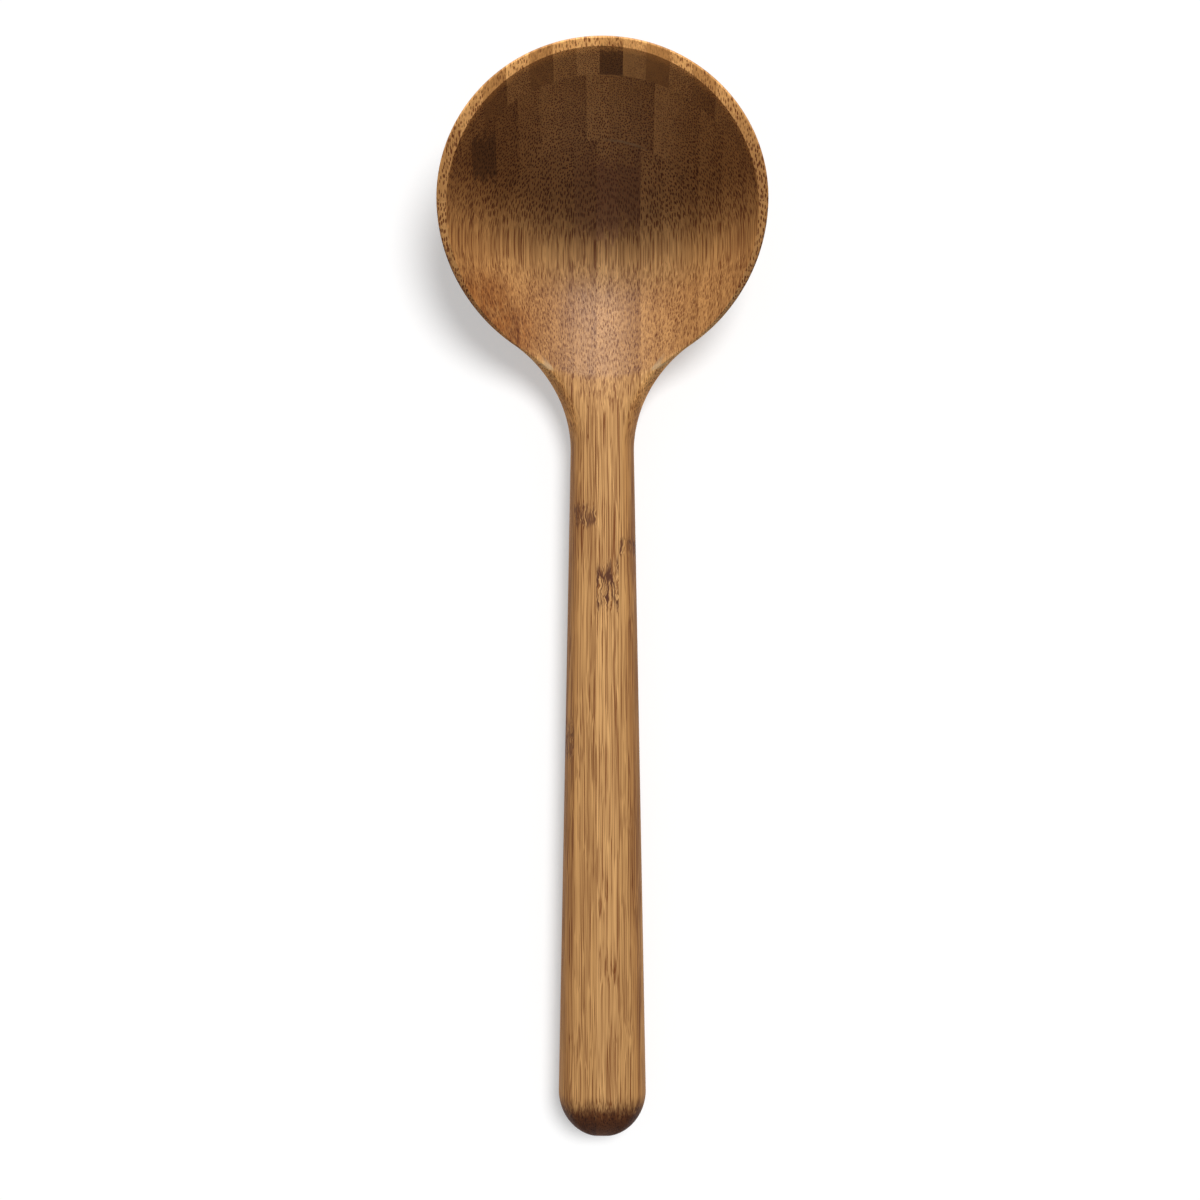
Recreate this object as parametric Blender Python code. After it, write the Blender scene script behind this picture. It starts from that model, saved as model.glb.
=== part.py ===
# A ladle carved from a blank of laminated bamboo.
# Sticks of bamboo stand on edge and are glued side by side into three boards, and the boards are
# glued on top of each other. The blank is then cut to the ladle's form, so each piece here is one
# stick, or what the hollow leaves of it. Fibres and sticks run along Y.
# Frame: metres, +Z up, +Y from the handle to the bowl's front, origin under the middle on the table.

from math import acos, atan2, ceil, cos, floor, hypot, pi, radians, sin, sqrt, tan

import bmesh
import bpy
from mathutils import Vector

# Blank
BOARD_THICKNESS = 0.0180
STICK_THICKNESS = 0.0060
GLUE_GAP = 0.0003
THINNEST_EDGE_STICK = 0.0025
SMALLEST_SPLINTER = 0.0020           # side of a cube; what is left of a stick and smaller is sanded away
BOARDS = ("bottom", "middle", "top")
# Where the joint beside the ladle's middle line lies in each board
BOARD_JOINTS = {"bottom": -0.0016, "middle": 0.0018, "top": -0.0007}
# What a stick's second piece is called, behind the one at the bowl's front
REAR_ENDINGS = {"bottom": "_handle", "middle": "_rear", "top": "_rear"}

# Ladle as a whole
OVERALL_LENGTH = 0.2905

# Bowl
RIM_HALF_WIDTH = 0.0434
RIM_FRONT_DEPTH = 0.0398             # seen from above, from the widest place to the front
RIM_REAR_DEPTH = 0.0428              # the same towards the handle, before the neck's fillet
RIM_FRONT_HEIGHT = 0.0492
RIM_TILT = radians(18.3)             # the rim climbs towards the front
LIP_WIDTH = 0.0025                   # at the front and at the sides
HOLLOW_RADIUS = 0.0480               # egg-shaped ball that cuts the hollow, measured along the ladle
HOLLOW_UPRIGHT_RADIUS = 0.0576       # the same measured upright
HOLLOW_OVERRUN = 0.0052              # the hollow ends on the handle this far behind the rim's rear
FLOOR_THICKNESS = 0.0068
FOOT_DEPTH = 0.0010                  # how much of the round bottom is sanded off as a flat foot
OUTER_WALL_SLOPE = radians(76.0)     # at the lip
LIP_EDGE_DROP = 0.0005
LIP_EDGE_WIDTH = 0.0006
SHOULDER_LENGTH = 0.0260             # the lip comes down to the handle along this length
SHOULDER_OVERRUN = 0.0040            # and reaches it this far behind the rim's rear

# Handle
HANDLE_TOP = 0.0175
HANDLE_EDGE_HEIGHT = 0.0090
NECK_WIDTH = 0.0173
NECK_UNDERSIDE = 0.0030
NECK_FILLET = 0.0330
END_WIDTH = 0.0238
END_ROUNDING = 0.0125
HANDLE_SHOULDER = 0.0042
EDGE_CLIMB = 0.50                    # share of the neck and the rear rim along which the outline climbs

# Facets
END_STEPS = 4
HANDLE_STEPS = 5
NECK_STEPS = 6
REAR_STEPS = 7
FRONT_STEPS = 11
HOLLOW_STEPS = 8
LIP_STEPS = 4
OUTER_STEPS = 8
SMOOTH_ANGLE = radians(25.0)

# Colours of the sticks, which differ in tone
TONES = (
    (0.47, 0.27, 0.11),
    (0.52, 0.31, 0.13),
    (0.41, 0.22, 0.085),
    (0.50, 0.28, 0.11),
    (0.44, 0.25, 0.10),
)
TONE_STRIDE = 3                      # a stick's neighbour takes the tone this many places on
BAMBOO_ROUGHNESS = 0.45

# Sizes that follow
FRONT_Y = OVERALL_LENGTH / 2
END_Y = -OVERALL_LENGTH / 2
RIM_Y = FRONT_Y - RIM_FRONT_DEPTH
BALL_Z = FLOOR_THICKNESS + HOLLOW_UPRIGHT_RADIUS
LIP_INNER_HEIGHT = RIM_FRONT_HEIGHT - LIP_WIDTH * tan(RIM_TILT)
# Heights under the ball's middle are divided by its rise, which makes it round for the next sizes
BALL_RISE = HOLLOW_UPRIGHT_RADIUS / HOLLOW_RADIUS
LIP_BELOW_BALL = (BALL_Z - LIP_INNER_HEIGHT) / BALL_RISE
BALL_Y = FRONT_Y - LIP_WIDTH - sqrt(HOLLOW_RADIUS ** 2 - LIP_BELOW_BALL ** 2)
RIM_REAR_Y = RIM_Y - RIM_REAR_DEPTH
SHOULDER_Y = RIM_REAR_Y - SHOULDER_OVERRUN + SHOULDER_LENGTH
OUTER_ROUNDNESS = sin(OUTER_WALL_SLOPE)
CAP_Y = END_Y + END_ROUNDING
# The rim's plane cuts the ball in a circle, which is stretched to the rim's width less its lip
RIM_HEIGHT_AT_BALL = RIM_FRONT_HEIGHT - (FRONT_Y - BALL_Y) * tan(RIM_TILT)
RIM_BELOW_BALL = (BALL_Z - RIM_HEIGHT_AT_BALL) / BALL_RISE
BALL_TO_RIM_PLANE = RIM_BELOW_BALL * cos(atan2(tan(RIM_TILT), BALL_RISE))
RIM_CIRCLE = sqrt(HOLLOW_RADIUS ** 2 - BALL_TO_RIM_PLANE ** 2)
HOLLOW_STRETCH = (RIM_HALF_WIDTH - LIP_WIDTH) / RIM_CIRCLE
# The ball leaves the hollow along the line that touches it and meets the handle's top at the hollow's end
END_BEHIND_BALL = BALL_Y - RIM_REAR_Y + HOLLOW_OVERRUN
END_BELOW_BALL = (BALL_Z - HANDLE_TOP) / BALL_RISE
END_TO_BALL = hypot(END_BEHIND_BALL, END_BELOW_BALL)
HOLLOW_RUNOUT = atan2(END_BEHIND_BALL, END_BELOW_BALL) - acos(HOLLOW_RADIUS / END_TO_BALL)
STATIONS = END_STEPS + HANDLE_STEPS + NECK_STEPS + REAR_STEPS + FRONT_STEPS
HALF_LOOP = HOLLOW_STEPS + LIP_STEPS + OUTER_STEPS
BISECTIONS = 40
MERGE_DISTANCE = 1e-6


def mix(start, end, share):
    """Value that lies the given share of the way from start to end."""
    return start + (end - start) * share


def ease(share):
    """Share that starts and stops gently."""
    share = min(max(share, 0.0), 1.0)
    return share * share * (3.0 - 2.0 * share)


def find_change(test, low, high):
    """Place between low, where test holds, and high, where it fails."""
    for _ in range(BISECTIONS):
        middle = (low + high) / 2
        if test(middle):
            low = middle
        else:
            high = middle
    return (low + high) / 2


# Plan outline

def rim_depth(angle):
    """Depth of the rim's outline on the side of its widest place that the angle points to."""
    return RIM_FRONT_DEPTH if angle > 0.0 else RIM_REAR_DEPTH


def rim_point(angle):
    """Outer edge of the tilted round rim, seen from above."""
    return RIM_HALF_WIDTH * cos(angle), RIM_Y + rim_depth(angle) * sin(angle)


def rim_normal(angle):
    """Outward direction of the rim's outline, seen from above."""
    x = cos(angle) / RIM_HALF_WIDTH
    y = sin(angle) / rim_depth(angle)
    length = hypot(x, y)
    return x / length, y / length


def fillet_centre(angle):
    """Centre of a fillet that touches the rim's outline at the given angle."""
    x, y = rim_point(angle)
    normal_x, normal_y = rim_normal(angle)
    return x + NECK_FILLET * normal_x, y + NECK_FILLET * normal_y


NECK_ANGLE = find_change(
    lambda angle: fillet_centre(angle)[0] < NECK_WIDTH / 2 + NECK_FILLET, -pi / 2, 0.0
)
FILLET_X, FILLET_Y = fillet_centre(NECK_ANGLE)


def outline(station):
    """Right-hand edge of the ladle from above, from the handle's end round to the bowl's front."""
    if station <= END_STEPS:
        turn = station / END_STEPS * pi / 2
        return END_WIDTH / 2 * sin(turn), CAP_Y - END_ROUNDING * cos(turn)
    station -= END_STEPS
    if station <= HANDLE_STEPS:
        share = station / HANDLE_STEPS
        return mix(END_WIDTH, NECK_WIDTH, share) / 2, mix(CAP_Y, FILLET_Y, share)
    station -= HANDLE_STEPS
    if station <= NECK_STEPS:
        normal_x, normal_y = rim_normal(NECK_ANGLE)
        turn = atan2(-normal_y, -normal_x)
        angle = mix(pi, turn, station / NECK_STEPS)
        return FILLET_X + NECK_FILLET * cos(angle), FILLET_Y + NECK_FILLET * sin(angle)
    station -= NECK_STEPS
    if station <= REAR_STEPS:
        return rim_point(mix(NECK_ANGLE, 0.0, station / REAR_STEPS))
    station -= REAR_STEPS
    return rim_point(mix(0.0, pi / 2, station / FRONT_STEPS))


# Heights

def neck_share(station):
    """0 along the handle, 1 from the bowl's widest place on, rising evenly between them."""
    share = (station - END_STEPS - HANDLE_STEPS) / (NECK_STEPS + REAR_STEPS)
    return min(max(share, 0.0), 1.0)


def bowl_share(station):
    """0 along the handle, 1 round the bowl, easing through the neck and the rear of the rim."""
    return ease(neck_share(station))


def end_share(station):
    """Share of the full thickness at the handle's rounded end."""
    return sin(min(station / END_STEPS, 1.0) * pi / 2)


def axis_y(station):
    """Point on the middle line from which a half section starts."""
    return mix(min(outline(station)[1], BALL_Y), BALL_Y, neck_share(station))


def lip_height(y):
    """Side profile of the top: tilted rim, shoulder, then the handle."""
    rim = RIM_FRONT_HEIGHT - (FRONT_Y - max(y, SHOULDER_Y)) * tan(RIM_TILT)
    share = min(max((SHOULDER_Y - y) / SHOULDER_LENGTH, 0.0), 1.0)
    leave = share * (1.0 - share) ** 2 * tan(RIM_TILT) * SHOULDER_LENGTH
    return mix(rim, HANDLE_TOP, ease(share)) - leave


def hollow_height(x, y):
    """Surface left by the ball, which moves up and back to the handle as it leaves the hollow."""
    radius = sqrt(max(HOLLOW_RADIUS ** 2 - (x / HOLLOW_STRETCH) ** 2, 0.0))
    behind = BALL_Y - y
    if behind > radius * sin(HOLLOW_RUNOUT):
        below = radius / cos(HOLLOW_RUNOUT) - behind * tan(HOLLOW_RUNOUT)
    else:
        below = sqrt(max(radius ** 2 - behind ** 2, 0.0))
    return BALL_Z - below * BALL_RISE


def edge_drop(station):
    """How far the top comes down from its crest to the outline."""
    climb = ease(neck_share(station) / EDGE_CLIMB)
    return mix(HANDLE_TOP - HANDLE_EDGE_HEIGHT, LIP_EDGE_DROP, climb)


def edge_height(station):
    """Height of the outline, where the top meets the underside."""
    crest = lip_height(outline(station)[1])
    return mix(HANDLE_EDGE_HEIGHT, crest - edge_drop(station), end_share(station))


def plan_point(station, share):
    """Point the given share of the way from the middle line to the outline."""
    x, y = outline(station)
    return x * share, mix(axis_y(station), y, share)


def cap_height(station, share):
    """Top before the hollow is cut: flat in the middle, rounded down to the outline."""
    edge_x, edge_y = outline(station)
    distance = (1.0 - share) * hypot(edge_x, edge_y - axis_y(station))
    width = mix(HANDLE_SHOULDER, LIP_EDGE_WIDTH, bowl_share(station)) * end_share(station)
    drop = 0.0
    if distance < width:
        drop = edge_drop(station) * (1.0 - sqrt(1.0 - (1.0 - distance / width) ** 2))
    crest = lip_height(plan_point(station, share)[1])
    return mix(HANDLE_EDGE_HEIGHT, crest - drop, end_share(station))


def under_height(station, share):
    """Underside: a round curve from the middle line to the outline, with a flat foot."""
    roundness = mix(1.0, OUTER_ROUNDNESS, bowl_share(station))
    at_edge = sqrt(1.0 - roundness ** 2)
    curve = (sqrt(1.0 - (roundness * share) ** 2) - at_edge) / (1.0 - at_edge)
    along_handle = (axis_y(station) - CAP_Y) / (FILLET_Y - CAP_Y)
    keel = mix(ease(along_handle) * NECK_UNDERSIDE, -FOOT_DEPTH, bowl_share(station))
    keel = mix(HANDLE_EDGE_HEIGHT, keel, end_share(station))
    return max(mix(edge_height(station), keel, curve), 0.0)


def hollow_edge(station):
    """Share of the half section at which the hollow meets the lip; none along the handle."""
    def inside(share):
        return hollow_height(*plan_point(station, share)) < cap_height(station, share)
    if not inside(0.0):
        return 0.0
    return find_change(inside, 0.0, 1.0)


def ladle_point(station, step, side):
    """Point of the ladle's surface; steps run from the top's middle line round to the underside's."""
    edge = hollow_edge(station)
    if step <= HOLLOW_STEPS:
        share = edge * step / HOLLOW_STEPS
        x, y = plan_point(station, share)
        z = cap_height(station, share) if edge == 0.0 else hollow_height(x, y)
        return Vector((side * x, y, z))
    step -= HOLLOW_STEPS
    if step <= LIP_STEPS:
        share = mix(edge, 1.0, sin(step / LIP_STEPS * pi / 2))
        x, y = plan_point(station, share)
        return Vector((side * x, y, cap_height(station, share)))
    step -= LIP_STEPS
    share = cos(step / OUTER_STEPS * pi / 2)
    x, y = plan_point(station, share)
    return Vector((side * x, y, under_height(station, share)))


def make_form():
    """The whole ladle as a hidden cutter: a grid wrapped round the length, closed at its seams."""
    mesh = bpy.data.meshes.new("ladle_form")
    shape = bmesh.new()
    bmesh.ops.create_grid(shape, x_segments=STATIONS, y_segments=2 * HALF_LOOP, size=1.0)
    for vertex in shape.verts:
        station = round((vertex.co.x + 1.0) / 2 * STATIONS)
        around = round(vertex.co.y * HALF_LOOP)
        side = 1.0 if around >= 0 else -1.0
        vertex.co = ladle_point(station, abs(around), side)
    bmesh.ops.remove_doubles(shape, verts=shape.verts, dist=MERGE_DISTANCE)
    bmesh.ops.dissolve_degenerate(shape, dist=MERGE_DISTANCE, edges=shape.edges)
    bmesh.ops.recalc_face_normals(shape, faces=shape.faces)
    shape.to_mesh(mesh)
    shape.free()
    form = bpy.data.objects.new("ladle_form", mesh)
    form.hide_render = True
    form.display_type = "WIRE"
    bpy.context.collection.objects.link(form)
    return form


# Sticks

def bowl_half_width(height):
    """Half the width of the bowl's outside at a height, across its deepest point."""
    side_edge = lip_height(BALL_Y) - LIP_EDGE_DROP
    if height >= side_edge:
        return RIM_HALF_WIDTH
    at_edge = sqrt(1.0 - OUTER_ROUNDNESS ** 2)
    curve = (side_edge - height) / (side_edge + FOOT_DEPTH)
    return RIM_HALF_WIDTH * sqrt(1.0 - mix(at_edge, 1.0, curve) ** 2) / OUTER_ROUNDNESS


def board_sticks(board):
    """Place, left side and right side of each stick, counted from the joint beside the middle line."""
    top = (BOARDS.index(board) + 1) * BOARD_THICKNESS
    last_joint = bowl_half_width(top) - THINNEST_EDGE_STICK
    joint = BOARD_JOINTS[board]
    first = ceil((-last_joint - joint) / STICK_THICKNESS)
    last = floor((last_joint - joint) / STICK_THICKNESS)
    outside = RIM_HALF_WIDTH + STICK_THICKNESS
    sides = [joint + place * STICK_THICKNESS for place in range(first, last + 1)]
    sides = [-outside] + sides + [outside]
    return list(zip(range(first - 1, last + 1), sides, sides[1:]))


def stick_name(board, place):
    """Name of a stick, counted outwards from the middle line."""
    side = f"right_{place + 1}" if place >= 0 else f"left_{-place}"
    return f"{board}_stick_{side}"


def cut_stick(form, board, left, right):
    """Mesh of one stick of the blank, cut to the ladle's form."""
    level = BOARDS.index(board)
    low = level * BOARD_THICKNESS + GLUE_GAP / 2
    high = (level + 1) * BOARD_THICKNESS - GLUE_GAP / 2
    if level == 0:
        low = -BOARD_THICKNESS
    bpy.ops.mesh.primitive_cube_add(size=1.0)
    stick = bpy.context.object
    stick.location = ((left + right) / 2, 0.0, (low + high) / 2)
    stick.scale = (right - left - GLUE_GAP, OVERALL_LENGTH + STICK_THICKNESS, high - low)
    cut = stick.modifiers.new("form", "BOOLEAN")
    cut.operation = "INTERSECT"
    cut.solver = "EXACT"
    cut.object = form
    graph = bpy.context.evaluated_depsgraph_get()
    mesh = bpy.data.meshes.new_from_object(stick.evaluated_get(graph))
    mesh.transform(stick.matrix_world)
    bpy.data.objects.remove(stick)
    return mesh


def split_bodies(mesh):
    """The separate bodies that the hollow leaves of a stick, from the bowl's front backwards."""
    shape = bmesh.new()
    shape.from_mesh(mesh)
    bpy.data.meshes.remove(mesh)
    waiting = set(shape.faces)
    bodies = []
    while waiting:
        front = [waiting.pop()]
        body = list(front)
        while front:
            face = front.pop()
            for edge in face.edges:
                for other in edge.link_faces:
                    if other in waiting:
                        waiting.remove(other)
                        front.append(other)
                        body.append(other)
        bodies.append(body)
    pieces = []
    for body in bodies:
        piece = shape.copy()
        kept = {face.index for face in body}
        piece.faces.ensure_lookup_table()
        others = [face for face in piece.faces if face.index not in kept]
        bmesh.ops.delete(piece, geom=others, context="FACES")
        if piece.calc_volume() > SMALLEST_SPLINTER ** 3:
            pieces.append(piece)
        else:
            piece.free()
    shape.free()
    pieces.sort(key=lambda piece: -middle_of(piece).y)
    return pieces


def middle_of(piece):
    """Middle of a piece's corners."""
    return sum((vertex.co for vertex in piece.verts), Vector()) / len(piece.verts)


def bamboo(name, tone):
    """Oiled bamboo in one of the sticks' tones."""
    material = bpy.data.materials.new("bamboo_" + name)
    material.use_nodes = True
    shader = material.node_tree.nodes["Principled BSDF"]
    shader.inputs["Base Color"].default_value = (*tone, 1.0)
    shader.inputs["Roughness"].default_value = BAMBOO_ROUGHNESS
    shader.inputs["Metallic"].default_value = 0.0
    return material


def add_piece(name, piece, tone, parent):
    """One node of the ladle."""
    mesh = bpy.data.meshes.new(name)
    piece.to_mesh(mesh)
    piece.free()
    mesh.shade_smooth()
    mesh.set_sharp_from_angle(angle=SMOOTH_ANGLE)
    mesh.materials.clear()
    mesh.materials.append(bamboo(name, tone))
    node = bpy.data.objects.new(name, mesh)
    node.parent = parent
    bpy.context.collection.objects.link(node)


def add_board(form, board, parent):
    """All sticks of one board; the part of a stick that the hollow leaves behind it is a piece of its own."""
    for place, left, right in board_sticks(board):
        tone = TONES[(place * TONE_STRIDE + BOARDS.index(board)) % len(TONES)]
        name = stick_name(board, place)
        for piece in split_bodies(cut_stick(form, board, left, right)):
            add_piece(name, piece, tone, parent)
            name = stick_name(board, place) + REAR_ENDINGS[board]


def main():
    for old in list(bpy.data.objects):
        bpy.data.objects.remove(old)
    ladle = bpy.data.objects.new("ladle", None)
    bpy.context.collection.objects.link(ladle)
    form = make_form()
    for board in BOARDS:
        add_board(form, board, ladle)


main()
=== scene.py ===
"""Dresses a ladle of laminated bamboo: every stick of the blank as a fine, closed, oiled piece."""

from math import acos, atan2, cos, hypot, pi, radians, sin, sqrt, tan

import bmesh
import bpy
import numpy as np
from bpy.props import FloatProperty, FloatVectorProperty, PointerProperty
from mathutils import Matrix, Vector


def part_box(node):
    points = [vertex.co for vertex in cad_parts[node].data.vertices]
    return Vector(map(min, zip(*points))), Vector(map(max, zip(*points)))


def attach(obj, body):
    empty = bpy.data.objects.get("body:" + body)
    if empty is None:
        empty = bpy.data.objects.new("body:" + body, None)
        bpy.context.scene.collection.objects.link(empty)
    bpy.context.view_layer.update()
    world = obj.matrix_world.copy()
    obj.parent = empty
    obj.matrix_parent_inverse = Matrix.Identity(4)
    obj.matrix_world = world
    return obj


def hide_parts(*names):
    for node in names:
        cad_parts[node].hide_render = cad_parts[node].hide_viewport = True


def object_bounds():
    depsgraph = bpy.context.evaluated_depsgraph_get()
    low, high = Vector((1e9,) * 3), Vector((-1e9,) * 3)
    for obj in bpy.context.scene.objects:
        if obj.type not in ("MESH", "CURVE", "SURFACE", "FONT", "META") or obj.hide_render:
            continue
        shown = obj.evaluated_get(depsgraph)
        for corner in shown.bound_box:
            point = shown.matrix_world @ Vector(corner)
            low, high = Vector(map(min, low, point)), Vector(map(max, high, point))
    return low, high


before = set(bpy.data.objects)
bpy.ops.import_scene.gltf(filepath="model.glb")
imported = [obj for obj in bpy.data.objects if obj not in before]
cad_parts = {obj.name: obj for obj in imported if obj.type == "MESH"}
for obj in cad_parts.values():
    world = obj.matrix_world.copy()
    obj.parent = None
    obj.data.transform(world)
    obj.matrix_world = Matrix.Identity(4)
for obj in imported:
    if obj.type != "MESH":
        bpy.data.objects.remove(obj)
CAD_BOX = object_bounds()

bl_info = {
    "name": "Laminated bamboo ladle",
    "version": (1, 0, 0),
    "blender": (4, 5, 0),
    "location": "3D View > Sidebar > Ladle",
    "description": "Carves a ladle from a blank of glued bamboo sticks and sets it in a white cove",
    "category": "Add Mesh",
}

BODY = "root"
# Boards from the table up, and the most sticks looked for on either side of the middle line
BOARDS = ("bottom", "middle", "top")
MOST_STICKS = 20
MILLIMETRE = 0.001

# Lengths of the outline's five stretches, in stations
END_STRETCH = 4
HANDLE_STRETCH = 5
NECK_STRETCH = 6
REAR_STRETCH = 7
FRONT_STRETCH = 11
# Grid lines for each station of those stretches, and round half a section
STATION_LINES = (8, 20, 10, 10, 10)
HOLLOW_LINES = 44
LIP_LINES = 20
OUTER_LINES = 44
# Halvings in a search, distance at which two points are one, and the sharpest bend that is shaded smooth
BISECTIONS = 40
MERGE_DISTANCE = 1e-7
CREASE_ANGLE = radians(32.0)
# Grid lines of the stage, and how far it lies under the ladle
CIRCLE_LINES = 96
FLOOR_LINES = 8
BEND_LINES = 12
FLOOR_CLEARANCE = 0.0001
WHITE = (1.0, 1.0, 1.0, 1.0)

# Growth nodes of the bamboo: where along the ladle, how far they reach, and how strong they are
GROWTH_NODES = {
    "bottom_stick_left_1": (0.0240, 0.0034, 0.80),
    "bottom_stick_right_2": (0.0155, 0.0026, 0.75),
    "bottom_stick_right_1": (0.0045, 0.0065, 1.00),
    "bottom_stick_left_2": (-0.0370, 0.0060, 0.70),
}
# Stains: the same, and what is left of the colour
SAP = (0.70, 0.61, 0.78)
BURN = (0.34, 0.29, 0.26)
STAINS = {
    "bottom_stick_left_1": (0.1110, 0.0120, 0.50, SAP),
    "bottom_stick_right_1": (0.1100, 0.0120, 0.95, SAP),
    "bottom_stick_right_2": (0.1115, 0.0100, 0.80, SAP),
    "top_stick_right_1": (0.1393, 0.0034, 1.00, BURN),
    "middle_stick_left_6": (0.1180, 0.0062, 0.90, BURN),
}
NO_MARK = (1.0, 0.0050, 0.0)
# How ragged a mark's ends are and how much of it is full, and the reaches of its core and its tail
MARK_RAGGEDNESS = 1.8
MARK_FULL = 0.5
CORE_REACH = 1.1
TAIL_REACH = 4.0

# Sticks whose brightness, or the strength of whose fibre bundles, stands out, by their count outwards
STICK_TONES = {
    "top_stick_left": {1: 1.34, 2: 1.14, 3: 0.78, 4: 1.22, 5: 0.80, 6: 1.12},
    "top_stick_right": {2: 1.20, 3: 0.74, 4: 1.20, 5: 0.82, 6: 1.15},
    "middle_stick_left": {1: 1.14, 2: 0.92, 3: 1.06, 4: 1.00, 5: 0.90},
    "middle_stick_right": {1: 0.95, 2: 0.84, 3: 1.14, 4: 0.98, 5: 1.08},
    "bottom_stick_left": {1: 0.90, 2: 0.89},
    "bottom_stick_right": {1: 1.05, 2: 0.89, 3: 1.04},
}
STICK_BUNDLES = {
    "top_stick_left": {3: 0.60, 5: 0.60},
    "top_stick_right": {2: 0.30, 3: 0.25},
    "middle_stick_right": {3: 0.60},
}
# The other sticks' brightness: its swing, and its turn from stick to stick and board to board in radians
TONE_SWING = 0.09
STICK_TURN = 2.4
BOARD_TURN = 1.7
# A stick's seed: its place, with a step from board to board; it shifts the fibres by so many millimetres
SEED_STEP = 37.0
SEED_SHIFT = (7.3, 61.0, 5.1)

# Where glue has stayed light between two boards, and where the oil has browned the wood: place and reach
GLUE_SPOTS = ((0.0065, 0.1250, 0.0075), (-0.0135, 0.0635, 0.0050), (0.0145, 0.0640, 0.0050))
BROWN_SPOTS = ((-0.0320, 0.0805, 0.0110), (-0.0255, 0.0730, 0.0110))
SPOT_FULL = 0.3
BROWN_RAGGEDNESS = (0.1, 0.7)
# Glue: fade from its joint, height in boards where it starts, what a spot adds and the share elsewhere
GLUE_FADE = (0.00034, 0.00014)
GLUE_FROM = (0.5, 0.6)
GLUE_SHARE = (0.75, 0.04)

# How far under the rim it is made paler, how much of that its sides are, and the strength of the painted
# light on the neck's sides
RIM_PALE_DEPTH = 0.0010
RIM_SIDE_PALENESS = 0.30
NECK_PAINTED_LIGHT = 0.6
# Places along the ladle between which these come in: front wall, painted light on the neck from either end,
# and the darker tip, partly end grain and partly painted shade
FRONT_WALL = (0.070, 0.090)
NECK_REAR = (0.022, 0.040)
NECK_FRONT = (0.080, 0.068)
TIP_GRAIN_AND_SHADE = (CAD_BOX[0].y + 0.0130, CAD_BOX[0].y + 0.0060)
TIP_RAGGEDNESS = 0.010
# Parts of the surface's direction between which these come in, along Y, and along X for the painted shade on
# sideways faces
END_FACING = (0.05, 0.42)
FRONT_FACING = (0.05, -0.42)
NECK_FACING = (-0.03, -0.30)
SIDEWAYS_FACING = (0.15, 0.85)

# Sockets of a mix node for its two colours and its result
MIX_FIRST = 6
MIX_SECOND = 7
MIX_RESULT = 2
# Waves of the wood's noises in a millimetre, across the fibres and along them
RAGGED_WAVES = (0.9, 0.25)
STROKE_WAVES = (1.3, 0.03)
WANDER_WAVES = (0.10, 0.020)
SWIRL_WAVES = (0.35, 0.30)
FINE_WAVES = (3.2, 0.036)
BROAD_WAVES = (0.40, 0.010)
CLOUD_WAVES = (0.06, 0.030)
BRIGHT_WAVES = (0.85, 0.016)
HAIR_WAVES = (1.30, 0.012)
KNOT_WAVES = (0.80, 0.05)
STREAK_ROUGHNESS = 0.6
# How far the fibres wander, and swirl at a growth node, in millimetres
WANDER = (0.9, 0.0, 3.2)
KNOT_SWIRL = (2.6, 0.0, 0.8)

# Fibre bundles, in their spacing: scatter, gain in width across a stick and its start, and soft edge
BUNDLE_SCATTER = 0.80
BUNDLE_WIDTH = (0.07, 0.23)
BUNDLE_EDGE = (-0.07, 0.05)
# Strength of a bundle: by chance, elsewhere and on the front wall, and on the paler rim
BUNDLE_CHANCE = (0.35, 0.65)
BUNDLE_CUT = (0.64, 1.80)
PALE_RIM_BUNDLES = 0.55
# Share of dark fibre: from bundles, in tissue elsewhere and on the front wall, by noises, across a stick
BUNDLE_DARK = 0.80
TISSUE_DARK = (0.23, 0.05)
FINE_SWING = 1.25
SLOW_SWINGS = ((BROAD_WAVES, 0.85), (CLOUD_WAVES, 0.50))
ACROSS_DARK = 0.14
# Thin lines along the fibres: waves, width and what they add; and how much of a line is full
THIN_LINES = ((BRIGHT_WAVES, 0.036, -0.30), (HAIR_WAVES, 0.040, 0.24))
LINE_FULL = 0.25
# Growth node: fine noise at which its tail comes in, what the tail adds, and the width of its lines
TAIL_STREAKS = (0.45, 0.65)
TAIL_DARK = 0.40
KNOT_LINES = 0.09
# Stain: its share of dark fibre, how far it hides the grain, strength in tissue, bundle in which it is full
STAIN_DARK = 0.42
STAIN_COVER = 0.5
STAIN_TISSUE = 0.75
STAIN_BUNDLE = 0.6
# Powers of a stick's brightness in green and in blue
GREEN_POWER = 1.25
BLUE_POWER = 1.6
# Roughness from bundles, by the fine noise, on sideways faces and the tip; relief of that noise, and in all
BUNDLE_ROUGHNESS = 0.10
FINE_ROUGHNESS = 0.16
DRY_ROUGHNESS = 0.25
FINE_RELIEF = 0.5
RELIEF_STRENGTH = 0.35
RELIEF_DEPTH = 0.00010


class BlankSettings(bpy.types.PropertyGroup):
    """Sticks and boards of the glued blank."""
    board_thickness: FloatProperty(name="Board thickness", description="Height of one board of the blank",
                                   default=0.0180, unit="LENGTH", precision=4)
    stick_thickness: FloatProperty(name="Stick thickness", description="Width of one bamboo stick",
                                   default=0.0060, unit="LENGTH", precision=4)
    joints: FloatVectorProperty(name="Joints", description="Joint beside the middle line, board by board",
                                default=(-0.0016, 0.0018, -0.0007), unit="LENGTH", precision=4)


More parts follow.
